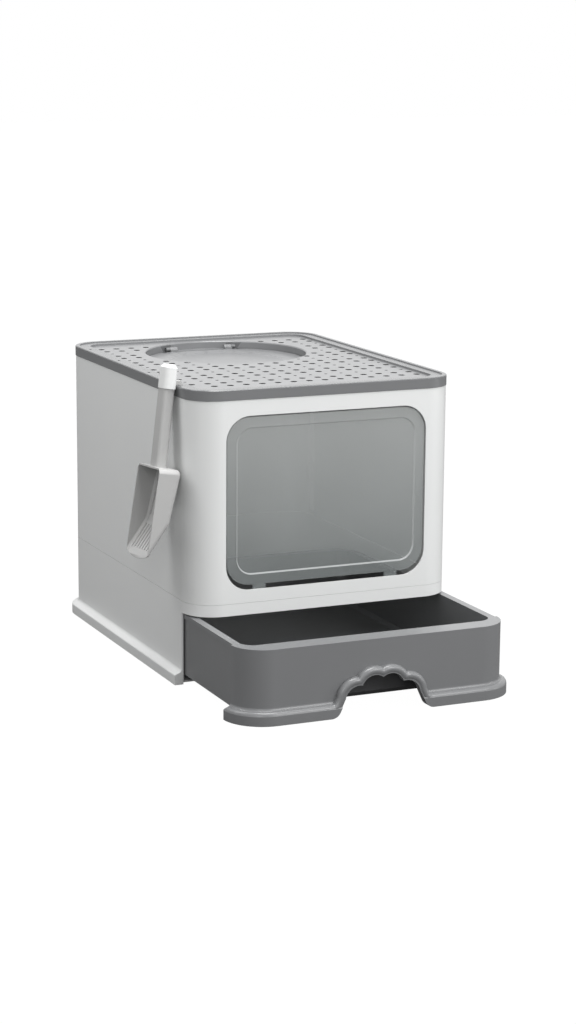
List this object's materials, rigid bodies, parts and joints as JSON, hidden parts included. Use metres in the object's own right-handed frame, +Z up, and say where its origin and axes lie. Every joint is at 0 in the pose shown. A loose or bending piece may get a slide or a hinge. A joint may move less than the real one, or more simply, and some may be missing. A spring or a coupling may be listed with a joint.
{
  "type": "drawer litter box",
  "caption": "Enclosed cat litter box: flap door, perforated lid with round exit hatch, sliding litter drawer with cloud finger opening, and a hooked scoop",
  "frame": {"origin": "on the floor, under the middle of the casing; at rest the drawer stands 164 mm out toward -Y", "axes": "+Z up, +X to the right seen from the front, -Y toward the viewer at the door"},
  "size_m": [0.4407, 0.669, 0.4177],
  "materials": {
    "base_plastic": "fine satin moulded polypropylene",
    "white_plastic": "fine satin moulded polypropylene",
    "casing_plastic": "fine satin moulded polypropylene",
    "lid_plastic": "fine satin moulded polypropylene",
    "drawer_plastic": "fine satin moulded polypropylene",
    "flap_plastic": "smoky frosted translucent",
    "scoop_plastic": "satin moulded",
    "clip_plastic": "satin moulded",
    "pin_steel": "plain drawn wire"
  },
  "bodies": {
    "casing": {"base_frame": "base_plastic", "front_panel": "white_plastic", "rear_panel": "casing_plastic", "left_panel": "casing_plastic", "right_panel": "casing_plastic", "clips_front_left": "clip_plastic", "clips_front_right": "clip_plastic", "clips_rear_left": "clip_plastic", "clips_rear_right": "clip_plastic"},
    "door": {"door_flap": "flap_plastic"},
    "drawer": {"drawer_tray": "drawer_plastic"},
    "lid": {"lid": "lid_plastic", "hatch_pin_left": "pin_steel", "hatch_pin_right": "pin_steel"},
    "hatch": {"exit_hatch": "lid_plastic"},
    "scoop": {"scoop": "scoop_plastic"}
  },
  "joints": [
    {"name": "drawer_slide", "type": "slide", "parent": "casing", "child": "drawer", "axis": [0, -1, 0], "range_m": [-0.164, 0.32]},
    {"name": "door_swing", "type": "hinge", "parent": "casing", "child": "door", "pos_m": [0, -0.2402, 0.3495], "axis": [1, 0, 0], "range_deg": [0, 80]},
    {"name": "lid_lift", "type": "slide", "parent": "casing", "child": "lid", "axis": [0, 0, 1], "range_m": [0, 0.12]},
    {"name": "hatch_swing", "type": "hinge", "parent": "lid", "child": "hatch", "pos_m": [0, 0.198, 0.3791], "axis": [-1, 0, 0], "range_deg": [0, 105]},
    {"name": "scoop_lift", "type": "slide", "parent": "lid", "child": "scoop", "axis": [0, 0, 1], "range_m": [0, 0.15]}
  ]
}
